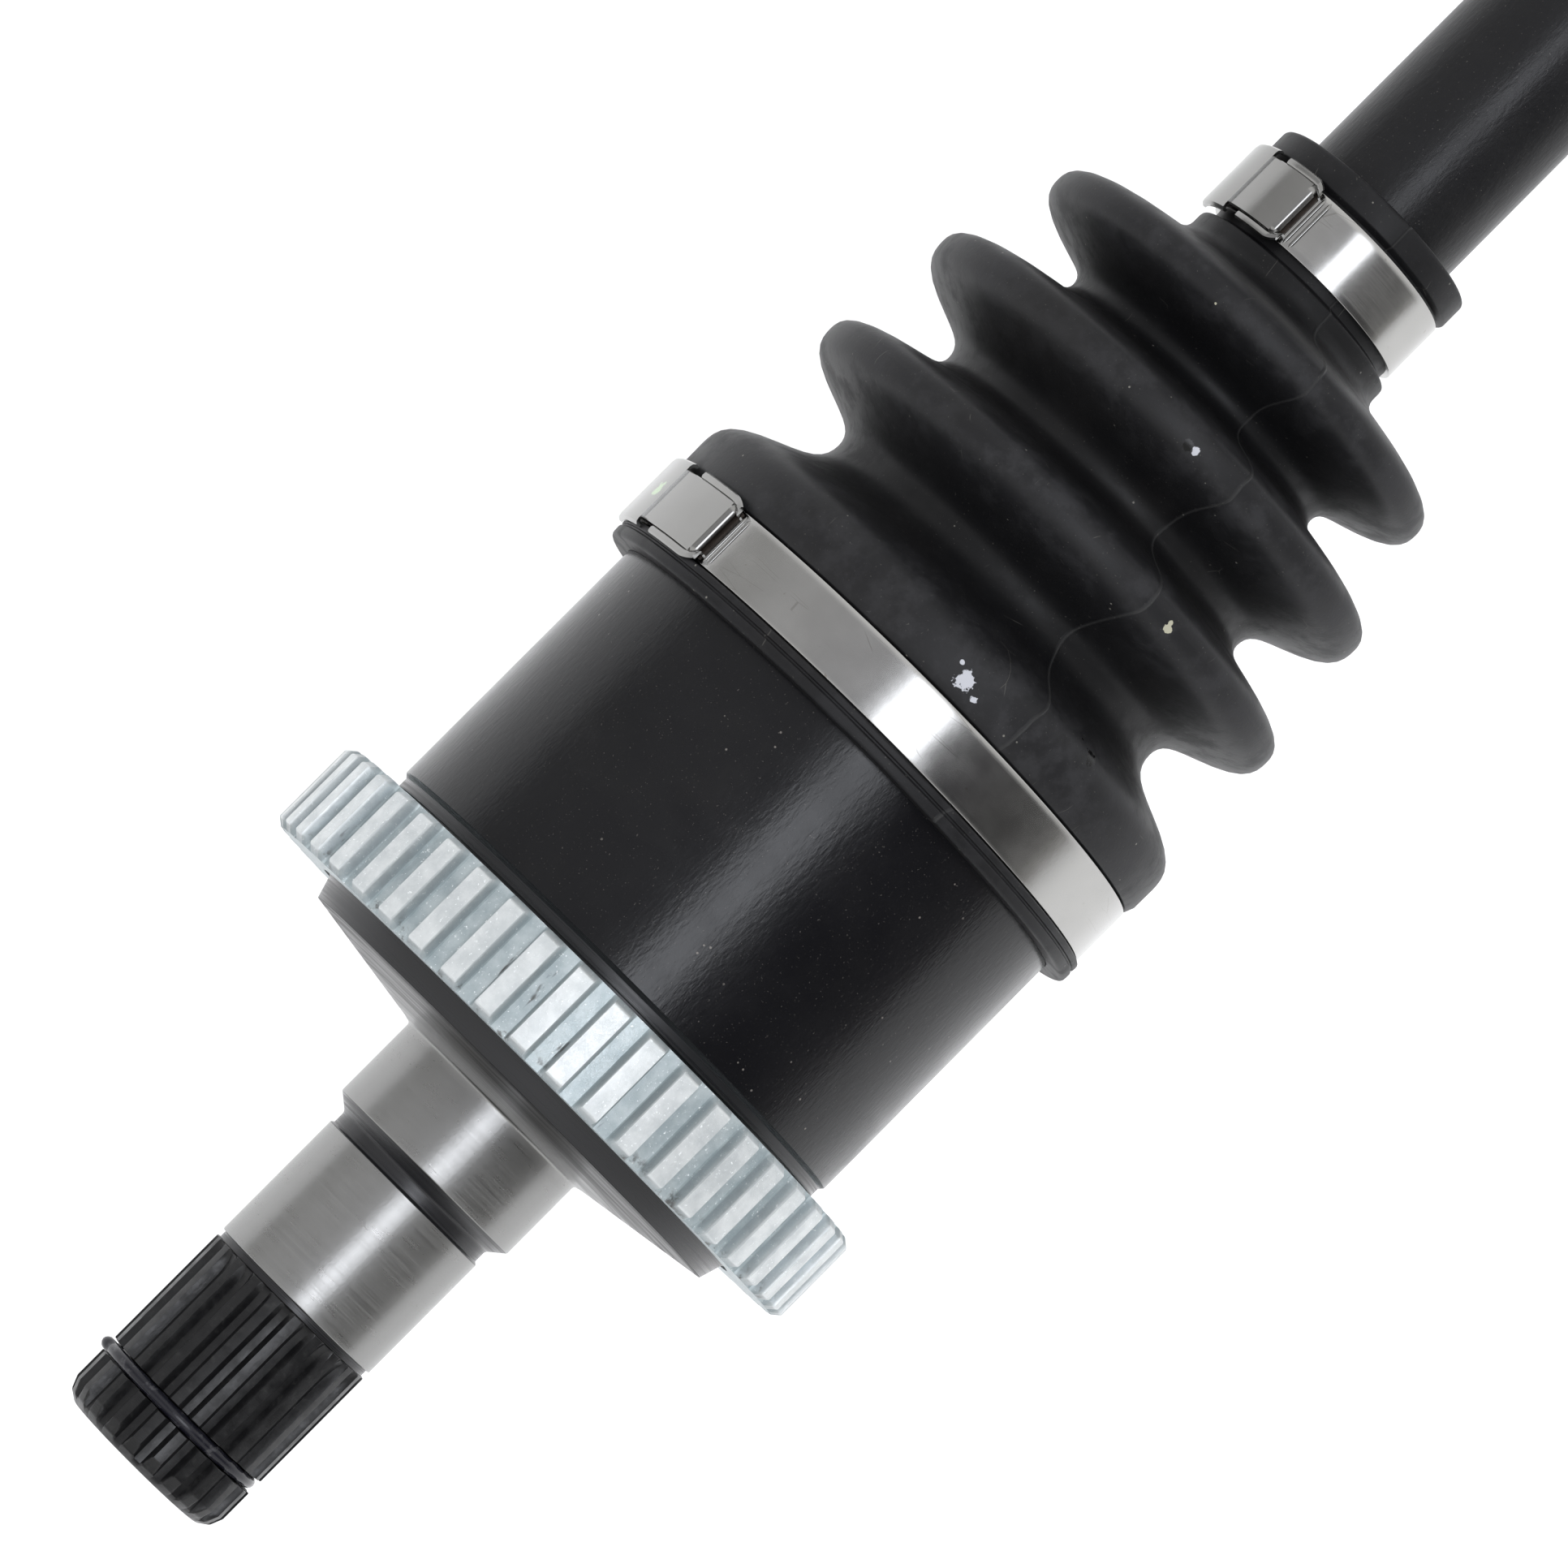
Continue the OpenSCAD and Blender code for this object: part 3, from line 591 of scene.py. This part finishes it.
# ---------------------------------------------------------------- circlip
def circlip():
    """Round wire with its ends 26 degrees apart at +Y, one of them standing out."""
    co, faces = [], []
    steps, sides = 150, 14
    for s in range(steps + 1):
        t = s / steps
        a = math.radians(8 + 333 * t)
        end = min(t, 1 - t) * steps
        w = 0.9 * min(1.0, 0.55 + 0.25 * end)
        out = 1.0 * max(0.0, 1 - t * steps / 5) ** 0.7
        for k in range(sides):
            b = TAU * k / sides
            r = 12.4 + out + w * math.cos(b)
            co.append(((INNER + CLIP_X + w * math.sin(b)) * MM, (r * math.cos(a) + 0.4) * MM,
                       r * math.sin(a) * MM))
    for s in range(steps):
        for k in range(sides):
            k1 = (k + 1) % sides
            faces.append((s * sides + k, s * sides + k1, (s + 1) * sides + k1, (s + 1) * sides + k))
    faces += [tuple(range(sides)), tuple(range(steps * sides, (steps + 1) * sides))]
    obj = make("circlip_wire", co, faces, [WIRE], 50)
    tidy_normals(obj)
    return obj


finish_piece(circlip(), "housing", "spring_steel", "stub_circlip")


# ---------------------------------------------------------------- boots
SEAM = math.radians(110)
boot_angles = np.array(sorted(set(list(np.arange(0, 360, 1.25)) + [110 + k * 0.11 for k in range(-10, 11)])))
boot_angles = np.radians(boot_angles)


def pleats(stations, steps=14):
    """Crests and valleys in turn, joined by steep walls, a little fuller at the crest."""
    out = []
    for (x0, r0), (x1, r1) in zip(stations, stations[1:]):
        for k in range(steps):
            t = k / steps
            u = t - 0.06 * math.sin(TAU * t)
            s = 1 - math.sin(math.pi / 2 * u) ** 2.3 if r0 > r1 else 1 - math.cos(math.pi / 2 * u) ** 2.3
            low, high = min(r0, r1), max(r0, r1)
            out.append((x0 + (x1 - x0) * t, low + (high - low) * s))
    return out + [stations[-1]]


def crest_share(X, R, bands):
    """How near each point is to a crest, 0 to 1, from (x, valley r, crest r) bands."""
    low = np.interp(X, [b[0] for b in bands], [b[1] for b in bands])
    high = np.interp(X, [b[0] for b in bands], [b[2] for b in bands])
    return np.clip((R - low) / np.maximum(high - low, 0.1), 0, 1) ** 2


def boot_piece(name, outside, inside, x0, bands, cut=None, side=None):
    """A stretch of a boot, closed; cut keeps what is on one side of that station."""
    if cut is not None:
        outside = [p for p in outside if (p[0] <= cut + 1e-6 if side < 0 else p[0] >= cut - 1e-6)]
        inside = [p for p in inside if (p[0] <= cut + 1e-6 if side < 0 else p[0] >= cut - 1e-6)]
    profile = outside + inside[::-1]

    def relief(X, R, A):
        """The moulding line and a slow unevenness; the line wanders round the boot a little."""
        off = A - SEAM
        seam = np.clip(1 - np.abs(off) * R / 0.3, 0, 1)
        step = 0.07 * np.clip(1 - off * R / 4.0, 0, 1) * (off > 0)
        top = np.arange(len(profile))[:, None] < len(outside)
        slow = 0.06 * np.sin(3 * A + X * 0.05) + 0.04 * np.sin(5 * A + 1.3)
        wander = (0.008 * np.sin(X * 0.33) + 0.005 * np.sin(X * 1.1 + 1)
                  - 0.0018 * np.clip(np.abs(X) - 60, 0, 60))
        near = np.exp(-(off / 0.5) ** 2)
        raised = seam * 0.17 + step + slow * np.clip((R - 18) / 20, 0, 1)
        return X, R + np.where(top, raised, 0.0), A + wander * near

    obj = skin(name, profile, boot_angles, x0, relief, closed=True, mats=[RUBBER])
    co = np.array([v.co for v in obj.data.vertices]) / MM
    share = crest_share(co[:, 0] - x0, np.hypot(co[:, 1], co[:, 2]), bands)
    line = np.clip(1 - np.abs(np.tile(boot_angles, len(profile)) - SEAM) * 38 / 0.3, 0, 1)
    for key, value in (("crest", share), ("seam", line)):
        layer = obj.data.attributes.new(key, "FLOAT", "POINT")
        layer.data.foreach_set("value", value.astype(np.float32))
    return obj


FOLDS = [(36.4, 41.15), (48.8, 28.5), (58.8, 40.0), (67.0, 26.5), (77.3, 37.8), (85.4, 21.8), (93.7, 32.9),
         (102.4, 16.5)]
inner_out = fillet([
    (19.7, 38.2), (19.7, 41.15, 0.6), (21.2, 41.2, 0.3), (21.35, 40.85, 0.1), (21.6, 40.85, 0.1),
    (21.7, 41.15, 0.2), (22.6, 41.2, 0.3), (22.7, 39.66, 0.1), (31.75, 39.66, 0.1), (31.95, 40.6, 0.4),
    (33.2, 41.1, 0.8)]) + pleats(FOLDS) + fillet([
        (103.6, 16.5), (104.1, 16.4, 0.3), (104.6, 15.0, 0.3), (115.2, 15.0, 0.3), (115.75, 16.2, 0.4),
        (119.5, 16.2, 0.6), (119.5, 12.1)])
WALL = 1.7
inner_in = [(19.7, 38.15), (33.3, 38.15), (34.4, 38.6)]
inner_in += [(x, r - WALL - 0.9 * max(0, r - 30) / 12) for x, r in pleats(FOLDS)]
inner_in += [(104.2, 12.1), (119.4, 12.1)]
bands = [(20, 38, 43), (36.4, 30, 41.5), (48.8, 28.5, 41), (67, 26.5, 39), (85.4, 21.8, 36), (102, 16, 30),
         (120, 13, 17)]
CUT_IN = 58.8
big = boot_piece("inner_boot_big_end", inner_out, inner_in, INNER, bands, CUT_IN, -1)
small = boot_piece("inner_boot_small_end", inner_out, inner_in, INNER, bands, CUT_IN, 1)
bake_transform(big)
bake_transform(small)
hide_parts("inner_boot")
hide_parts("inner_boot")

OUT_FOLDS = [(-31, 44.2), (-39.5, 36), (-47.5, 42.5), (-55, 33), (-62.5, 37.5), (-69.5, 26), (-76.5, 31),
             (-84, 20), (-90, 16.5)]
outer_pleats = pleats(OUT_FOLDS)
outer_out = fillet([
    (-5, 41.6), (-5, 44.1, 0.6), (-6.6, 44.1, 0.4), (-6.65, 43.12, 0.1), (-15.6, 43.12, 0.1),
    (-15.8, 43.9, 0.3), (-20, 44.15, 0.6)]) + outer_pleats + fillet([
        (-91.0, 16.4), (-92.0, 16.3, 0.3), (-92.6, 15.0, 0.3), (-105.8, 15.0, 0.3), (-106.3, 16.2, 0.4),
        (-110, 16.2, 0.6), (-110, 12.1)])
outer_in = [(-5, 41.55), (-20.2, 41.55), (-21.4, 41.9)]
outer_in += [(x, r - WALL - 0.5 * max(0, r - 30) / 12) for x, r in outer_pleats]
outer_in += [(-92.8, 12.1), (-109.9, 12.1)]
outer_bands = [(-120, 13, 17), (-90, 16, 22), (-84, 20, 33), (-69.5, 26, 39), (-55, 33, 43),
               (-39.5, 36, 44.5), (-5, 38, 45)]
CUT_OUT = -47.5


def outer_piece(name, side):
    keep = (lambda p: p[0] >= CUT_OUT - 1e-6) if side > 0 else (lambda p: p[0] <= CUT_OUT + 1e-6)
    out = [p for p in outer_out if keep(p)][::-1]
    inn = [p for p in outer_in if keep(p)][::-1]
    return boot_piece(name, out, inn, OUTER, outer_bands)


far = outer_piece("outer_boot_small_end", -1)
near = outer_piece("outer_boot_big_end", 1)
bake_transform(far)
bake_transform(near)
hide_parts("outer_boot")
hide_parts("outer_boot")


# ---------------------------------------------------------------- clamps
def rod(name, x0, x1, r, turn, thick, mats, bend=0.0):
    """A round bar lying along X at that radius and angle; bend turns its two ends outward."""
    sides, steps = 12, 16
    a = math.radians(turn)
    co, faces = [], []
    for s in range(steps + 1):
        t = s / steps
        end = max(0.0, abs(2 * t - 1) - 0.72) / 0.28
        w = thick * (1 - 0.5 * end ** 4)
        for k in range(sides):
            b = TAU * k / sides
            rr, tt = r + bend * end ** 2 + w * math.cos(b), w * math.sin(b) * 1.15
            y, z = rr * math.cos(a) - tt * math.sin(a), rr * math.sin(a) + tt * math.cos(a)
            co.append(((x0 + (x1 - x0) * t) * MM, y * MM, z * MM))
    for s in range(steps):
        for k in range(sides):
            k1 = (k + 1) % sides
            faces.append((s * sides + k, s * sides + k1, (s + 1) * sides + k1, (s + 1) * sides + k))
    faces += [tuple(range(sides)), tuple(range(steps * sides, (steps + 1) * sides))]
    obj = make(name, co, faces, mats, 50)
    tidy_normals(obj)
    return obj


def clamp(name, x, r, arc_deg, body, node):
    """A strap whose tail is folded back under a pressed bridge, with its hem rolled over."""
    t, w = 0.8, 8.7
    px = 180 / (math.pi * (r + t))
    section = fillet([(x, r), (x, r + t, 0.12), (x + w, r + t, 0.12), (x + w, r)], 2) + [(x, r)]
    band = skin(name + "_band", fine(section, 0.9)[:-1], 240, mats=[STRAP], closed=True)
    finish_piece(band, body, "stainless_strap", node + "_band")
    b = r + t
    hem = arc_deg - 0.7 * px
    loop = arc_deg * 0.48
    m = [BUCKLE]

    def ear(side, at):
        """A guide that rises beside the tail, clear of the rubber, and turns in round the hem."""
        path = [(0.05, -0.02), (-0.02, 0.7), (-0.95, 0.72), (-1.04, 1.1), (-0.84, 1.36), (-0.3, 1.4),
                (0.1, 1.2), (0.3, 0.9), (0.35, -0.02)]
        sec = [(at + side * q[0], b + q[1]) for q in path]
        return sec if side > 0 else sec[::-1]

    def turn_in(side):
        return lambda sec, s: [(q[0] + side * 0.85 * (max(0.0, s - 0.75) / 0.25) ** 2, q[1]) for q in sec]

    # painted shadow: a near-black sheet laid on the band under the tail and hem
    shade = arc("a", box_section(x + 0.3, x + w - 0.3, b - 0.03, b + 0.2), 0.3 * px, hem + 0.75 * px, 60,
                mats=[PAINTED_SHADOW])
    tail = box_section(x + 0.12, x + w - 0.12, b + 1.15, b + 1.5, 0.12)
    pieces = [shade, arc("b", tail, 0.6 * px, hem - 0.5 * px, 48, mats=m)]
    pieces.append(rod("c", x + 0.12, x + w - 0.12, b + 0.74, hem - 0.5 * px, 0.8, m))
    for side, at in ((1, x), (-1, x + w)):
        pieces.append(arc("d", ear(side, at), arc_deg * 0.62, hem + 0.9 * px, 28, mats=m, lift=turn_in(side)))
    arch = [(-1.1, 0.86), (-1.12, 1.3), (-0.8, 1.68), (-0.3, 1.78), (w + 0.3, 1.78), (w + 0.8, 1.68),
            (w + 1.12, 1.3), (w + 1.1, 0.86), (w + 0.72, 0.86), (w + 0.72, 1.2), (w + 0.3, 1.4),
            (-0.3, 1.4), (-0.72, 1.2), (-0.72, 0.86)]
    pieces.append(arc("e", [(x + q[0], b + q[1]) for q in arch], 0.0, loop, 26, mats=m))
    for k in range(2):
        pieces.append(rod("g", x + 0.3, x + w - 0.3, b - 0.05, hem + (1.5 + 1.0 * k) * px, 0.26, m, -0.1))
    buckle = join(name + "_buckle", pieces)
    finish_piece(buckle, body, "stainless_strap", node + "_buckle")


clamp("inner_large", INNER + 22.9, 39.71, 42, "housing", "large_clamp")
clamp("inner_small", INNER + 106.0, 15.03, 64, "shaft", "small_clamp")
clamp("outer_large", OUTER - 15.5, 43.16, 42, "bell", "outer_large_clamp")
clamp("outer_small", OUTER - 105.0, 15.03, 64, "shaft", "outer_small_clamp")

# ---------------------------------------------------------------- wheel end
co, faces = from_cad("outer_bell", lambda x, r: (r < 39.2 and x < 514) or (x < 460.05 and r < 40.95))
socket = make("socket", co, faces, [HARD], 25.0)
shell = skin("bell_shell", fine(fillet([
    (-20, 40.85), (-19.4, 41.45, 0.3), (-3, 41.45, 0.4), (-3, 44.7, 0.2), (-2, 45.68, 0.5),
    (14, 45.68, 5.0), (17, 44.6, 5.0), (29, 37.95, 6.0), (35.9, 30, 3.5), (38.4, 24.0, 1.4),
    (43, 23.98, 0.2), (44, 23, 0.2), (44, 14.7)]), 1.5), 256, OUTER,
    mats=[PAINT, GROUND, TURNED], caps=False)
paint(shell, lambda x, r: 1 if x > 523.9 else 2 if x > 518.7 and r < 24.2 else 0)
outer_profile = [(43.5, 14.9), (44.02, 14.85), (44.6, 14.2), (49.8, 14.2), (50.1, 13.9)]
outer_profile += [(50.3 + 0.5 * k, 13.4) for k in range(79)]
outer_profile += [(90, 12.4), (90.2, 10.4), (92.2, 10.4), (92.6, 11.0)]
outer_profile += [(92.6 + 0.15 * k, 11.0) for k in range(1, 122)]
outer_profile += [(111.2, 10.2), (112, 9.6), (112, 2.9), (110.3, 1.0), (109.4, 0.01)]


def outer_relief(X, R, A):
    groove = 1 - tooth(A, *HUB_TEETH)
    depth = np.clip((X - 50.1) / 3.0, 0, 1)
    depth = 1.0 * np.sqrt(np.clip(1 - (1 - depth) ** 2, 0, 1))
    cut = (X > 50.2) & (X < 90.01) & (R > 12.3)
    R = np.where(cut, np.minimum(R, 13.4 - depth * groove), R)
    turn = ((X - 92.6) / 1.5 - A / TAU) % 1.0
    ridge = np.clip(np.abs(2 * turn - 1) * 1.25 - 0.12, 0, 1)
    fade = np.clip((X - 92.7) / 1.2, 0, 1) * np.clip((111.2 - X) / 1.0, 0, 1)
    return X, np.where((X > 92.65) & (R > 10.9), 10.98 - 0.88 * fade * (1 - ridge) - 0.7 * (1 - fade), R), A


outer_stub = skin("outer_stub", outer_profile, tooth_angles(*HUB_TEETH, 0.025), OUTER, outer_relief,
                  mats=[SPLINE, GROUND, TURNED])
paint(outer_stub, lambda x, r: 1 if x < 530 else 0 if x < 570.3 else 2)
finish_piece(join("bell_and_stub", [socket, shell, outer_stub]), "bell", "black_steel", "outer_bell")

# ---------------------------------------------------------------- CAD pieces kept as they are
for name, mat in (("axle_bar", BAR), ("spider", HARD), ("inner_race", HARD), ("cage", HARD),
                  ("roller_clips", WIRE), ("spider_snap_rings", WIRE), ("race_snap_rings", WIRE),
                  *((f"roller_{k}", BALL) for k in (1, 2, 3)),
                  *((f"needles_{k}", BALL) for k in (1, 2, 3)), *((f"ball_{k}", BALL) for k in range(1, 7))):
    data = nodes[name].data
    data.materials.clear()
    data.materials.append(mat)


# ---------------------------------------------------------------- studio
def floor_look():
    look = Look("pale_floor", (0.93, 0.93, 0.93), 0.0, 0.9)
    soft = look.noise(6.0, 2.0)
    look.colour(look.blend(soft, (0.92, 0.92, 0.92), (0.94, 0.94, 0.94)))
    look.shader.inputs["Emission Color"].default_value = (1, 1, 1, 1)
    look.shader.inputs["Emission Strength"].default_value = 0.06
    return look.mat


def studio():
    low = -0.25  # clear below the joints at full bend
    s = 60.0
    floor = make("floor", [(-s, -s, low), (s, -s, low), (s, s, low), (-s, s, low)], [(0, 1, 2, 3)],
                 [floor_look()])
    world = bpy.data.worlds.new("studio")
    bpy.context.scene.world = world
    world.use_nodes = True
    tree = world.node_tree
    back = tree.nodes["Background"]
    coord = tree.nodes.new("ShaderNodeTexCoord")
    split = tree.nodes.new("ShaderNodeSeparateXYZ")
    tree.links.new(coord.outputs["Generated"], split.inputs[0])

    def calc(op, a, b=0.0):
        node = tree.nodes.new("ShaderNodeMath")
        node.operation = op
        for sock, v in zip(node.inputs, (a, b)):
            if isinstance(v, bpy.types.NodeSocket):
                tree.links.new(v, sock)
            else:
                sock.default_value = v
        return node.outputs[0]

    minus_y = calc("MULTIPLY", split.outputs[1], -1.0)
    turn = calc("DIVIDE", calc("ARCTAN2", minus_y, split.outputs[2]),
                math.pi)  # -0.5 to 0.5 above the horizon
    ramp = tree.nodes.new("ShaderNodeValToRGB")
    ramp.color_ramp.interpolation = "EASE"
    tree.links.new(calc("ADD", turn, 0.5), ramp.inputs[0])
    stops = [(0.0, (0.5, 0.5, 0.5)), (0.08, (0.54, 0.54, 0.54)), (0.2, (0.6, 0.6, 0.61)),
             (0.42, (0.52, 0.52, 0.54)), (0.485, (0.56, 0.57, 0.6)), (0.515, (5.2, 5.35, 5.7)),
             (0.58, (5.2, 5.35, 5.7)), (0.625, (0.3, 0.305, 0.32)), (0.68, (0.06, 0.06, 0.065)),
             (0.85, (0.08, 0.08, 0.08)), (0.93, (0.16, 0.16, 0.16)), (1.0, (0.4, 0.39, 0.38))]
    bar = ramp.color_ramp
    while len(bar.elements) < len(stops):
        bar.elements.new(0.5)
    for element, (at, value) in zip(bar.elements, stops):
        element.position = at
        element.color = (*value, 1)
    ends = calc("ABSOLUTE", split.outputs[0])

    def ramp_to(low, high):
        node = tree.nodes.new("ShaderNodeMapRange")
        node.interpolation_type = "SMOOTHSTEP"
        tree.links.new(ends, node.inputs[0])
        node.inputs[1].default_value, node.inputs[2].default_value = low, high
        return node.outputs[0]

    def mixed(share, a, value):
        node = tree.nodes.new("ShaderNodeMix")
        node.data_type = "RGBA"
        tree.links.new(share, node.inputs[0])
        tree.links.new(a, node.inputs[6])
        node.inputs[7].default_value = (*value, 1)
        return node.outputs[2]

    sides = mixed(ramp_to(0.12, 0.4), ramp.outputs[0], (1.1, 1.1, 1.1))
    tree.links.new(mixed(ramp_to(0.7, 0.92), sides, (0.3, 0.3, 0.3)), back.inputs[0])
    back.inputs[1].default_value = 1.0

    def panel(name, at, size, power, aim=(0.05, 0, 0), glossy=False):
        data = bpy.data.lights.new(name, "AREA")
        data.shape = "RECTANGLE"
        data.size, data.size_y = size
        data.energy = power
        lamp = bpy.data.objects.new(name, data)
        lamp.location = at
        lamp.rotation_euler = (Vector(aim) - Vector(at)).to_track_quat("-Z", "Y").to_euler()
        lamp.visible_glossy = glossy
        bpy.context.scene.collection.objects.link(lamp)

    panel("overhead", (0.05, -0.35, 2.2), (2.4, 2.4), 19)
    panel("side_left", (0.0, 1.9, 1.1), (2.6, 1.6), 5.5)
    panel("side_right", (0.0, -1.9, 1.1), (2.6, 1.6), 5.5)


def camera():
    data = bpy.data.cameras.new("camera")
    data.sensor_width = 36
    data.lens = 173.3
    data.clip_start, data.clip_end = 0.05, 50
    cam = bpy.data.objects.new("camera", data)
    bpy.context.scene.collection.objects.link(cam)
    eye, aim = Vector((-0.00565, 0.0025, 0.976)), Vector((0.0626, 0.0025, 0))
    back = (eye - aim).normalized()
    right = Vector((1, -1, 0)).normalized()
    right = (right - right.dot(back) * back).normalized()
    up = back.cross(right)
    m = Matrix((right, up, back)).transposed().to_4x4()
    m.translation = eye
    cam.matrix_world = m
    bpy.context.scene.camera = cam


studio()
camera()
bpy.context.scene.view_settings.view_transform = "Standard"
bpy.context.scene.view_settings.look = "None"
bpy.context.view_layer.update()
